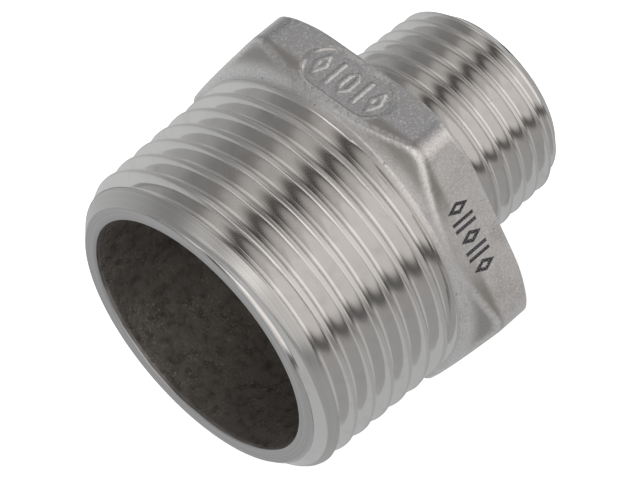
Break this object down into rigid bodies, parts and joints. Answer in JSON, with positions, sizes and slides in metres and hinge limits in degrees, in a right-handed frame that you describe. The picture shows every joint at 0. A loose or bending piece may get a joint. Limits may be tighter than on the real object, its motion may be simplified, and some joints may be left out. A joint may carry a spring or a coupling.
{
  "type": "reducing hex nipple",
  "caption": "Reducing hexagon pipe nipple with a large and a small male taper thread either side of a chamfered hexagon, bored right through.",
  "frame": {"origin": "on the pipe axis, at the middle of the length between the two end faces", "axes": "+X along the pipe axis from the large end to the small end; +Z square to the hexagon flat that carries the sunken oval; +Y along that flat, across the axis"},
  "size_m": [0.0392, 0.0398, 0.035],
  "materials": {
    "cast_stainless_steel": "investment cast satin hexagon, bright turned threads and end chamfers, dark as-cast bore"
  },
  "bodies": {
    "root": {"nipple_body": "cast_stainless_steel"}
  },
  "joints": []
}
